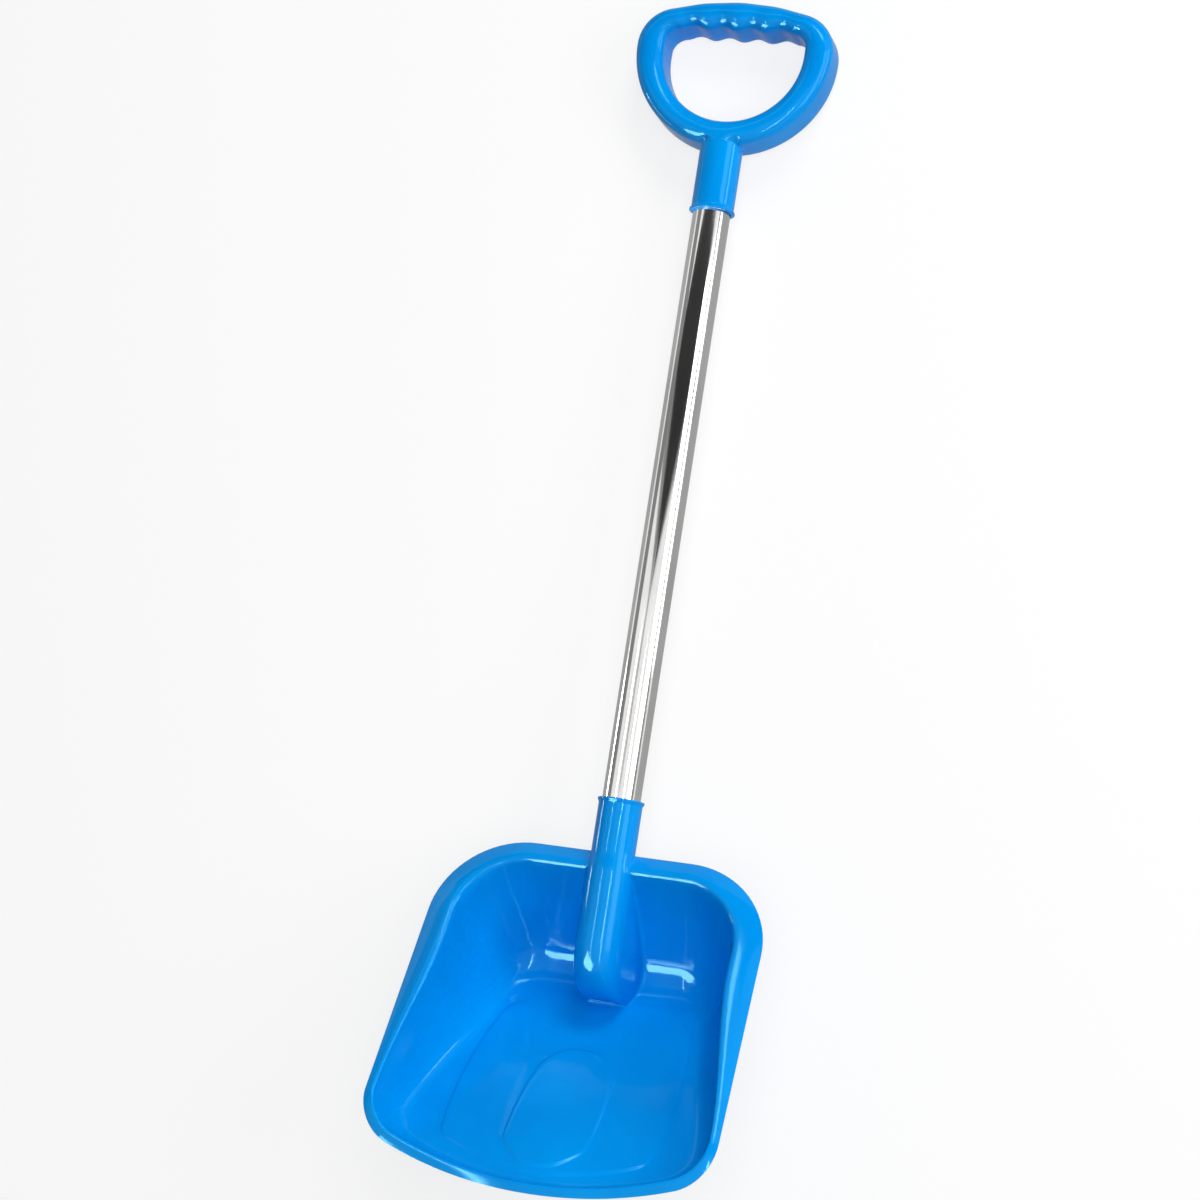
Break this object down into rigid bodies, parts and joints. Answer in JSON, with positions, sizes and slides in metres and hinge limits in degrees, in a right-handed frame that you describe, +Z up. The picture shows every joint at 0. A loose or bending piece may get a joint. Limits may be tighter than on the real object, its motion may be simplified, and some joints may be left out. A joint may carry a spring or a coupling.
{
  "type": "sand shovel",
  "caption": "Sand shovel with a deep moulded scoop, a straight bright metal tube and a moulded D-shaped hand grip with finger grooves.",
  "frame": {"origin": "under the middle of the shovel, on the surface that it lies on", "axes": "+Z up out of the open side of the scoop, +X from the scoop along the tube towards the grip, +Y across; the shovel lies on its back, so the tube slopes down towards the grip by about 3 degrees"},
  "size_m": [0.5972, 0.1732, 0.1078],
  "materials": {
    "scoop_plastic": "glossy, moulded in bright blue",
    "grip_plastic": "glossy, moulded in bright blue",
    "tube_metal": "polished",
    "screw_steel": "zinc plated"
  },
  "bodies": {
    "root": {"scoop": "scoop_plastic", "shaft_tube": "tube_metal", "grip": "grip_plastic", "scoop_screw": "screw_steel", "grip_screw": "screw_steel"}
  },
  "joints": []
}
